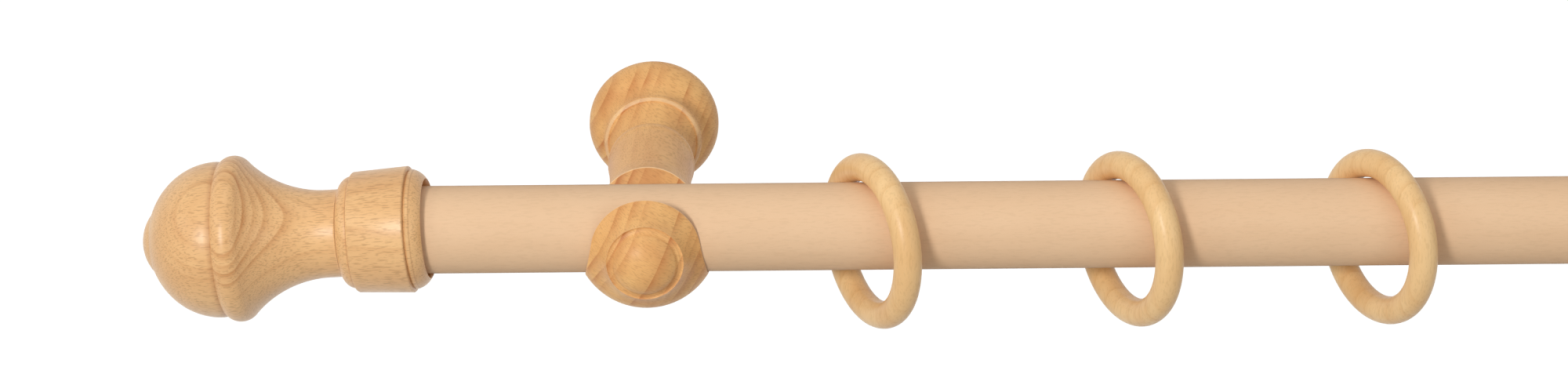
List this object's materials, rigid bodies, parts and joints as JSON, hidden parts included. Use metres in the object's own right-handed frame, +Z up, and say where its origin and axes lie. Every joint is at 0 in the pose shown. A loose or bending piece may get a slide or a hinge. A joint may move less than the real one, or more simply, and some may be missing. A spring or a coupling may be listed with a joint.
{
  "type": "curtain rod with brackets",
  "caption": "Turned beech curtain rod: round pole in two open-topped wall brackets, push-on finials and plain wooden rings that slide to carry a curtain.",
  "frame": {"origin": "on the wall plane, midway between the two wall screws' axes", "axes": "+X along the pole to the right as seen from the room, +Y into the wall, +Z up"},
  "size_m": [1.1412, 0.1774, 0.057],
  "materials": {
    "pole_wood": "pale sanded wood, matte",
    "bracket_beech": "turned beech, satin clear lacquer",
    "finial_beech": "turned beech, satin clear lacquer",
    "ring_wood": "turned yellowish wood, semi-gloss clear lacquer",
    "zinc_plated_steel": "bright zinc plate"
  },
  "bodies": {
    "wall_brackets": {"left_bracket": "bracket_beech", "right_bracket": "bracket_beech", "left_wall_screw": "zinc_plated_steel", "right_wall_screw": "zinc_plated_steel"},
    "pole": {"pole": "pole_wood"},
    "left_finial": {"left_finial": "finial_beech"},
    "right_finial": {"right_finial": "finial_beech"},
    "ring_1": {"ring_1": "ring_wood"},
    "ring_2": {"ring_2": "ring_wood"},
    "ring_3": {"ring_3": "ring_wood"},
    "ring_4": {"ring_4": "ring_wood"},
    "ring_5": {"ring_5": "ring_wood"},
    "ring_6": {"ring_6": "ring_wood"},
    "ring_7": {"ring_7": "ring_wood"},
    "ring_8": {"ring_8": "ring_wood"},
    "ring_9": {"ring_9": "ring_wood"}
  },
  "joints": [
    {"name": "pole_lift", "type": "slide", "parent": "wall_brackets", "child": "pole", "axis": [0, 0, 1], "range_m": [0, 0.036]},
    {"name": "left_finial_pull", "type": "slide", "parent": "pole", "child": "left_finial", "axis": [-1, 0, 0], "range_m": [0, 0.03]},
    {"name": "right_finial_pull", "type": "slide", "parent": "pole", "child": "right_finial", "axis": [1, 0, 0], "range_m": [0, 0.03]},
    {"name": "ring_1_slide", "type": "slide", "parent": "pole", "child": "ring_1", "axis": [1, 0, 0], "range_m": [-0.022, 0.022]},
    {"name": "ring_2_slide", "type": "slide", "parent": "pole", "child": "ring_2", "axis": [1, 0, 0], "range_m": [-0.022, 0.022]},
    {"name": "ring_3_slide", "type": "slide", "parent": "pole", "child": "ring_3", "axis": [1, 0, 0], "range_m": [-0.022, 0.022]},
    {"name": "ring_4_slide", "type": "slide", "parent": "pole", "child": "ring_4", "axis": [1, 0, 0], "range_m": [-0.022, 0.022]},
    {"name": "ring_5_slide", "type": "slide", "parent": "pole", "child": "ring_5", "axis": [1, 0, 0], "range_m": [-0.022, 0.022]},
    {"name": "ring_6_slide", "type": "slide", "parent": "pole", "child": "ring_6", "axis": [1, 0, 0], "range_m": [-0.022, 0.022]},
    {"name": "ring_7_slide", "type": "slide", "parent": "pole", "child": "ring_7", "axis": [1, 0, 0], "range_m": [-0.022, 0.022]},
    {"name": "ring_8_slide", "type": "slide", "parent": "pole", "child": "ring_8", "axis": [1, 0, 0], "range_m": [-0.022, 0.022]},
    {"name": "ring_9_slide", "type": "slide", "parent": "pole", "child": "ring_9", "axis": [1, 0, 0], "range_m": [-0.022, 0.022]}
  ]
}
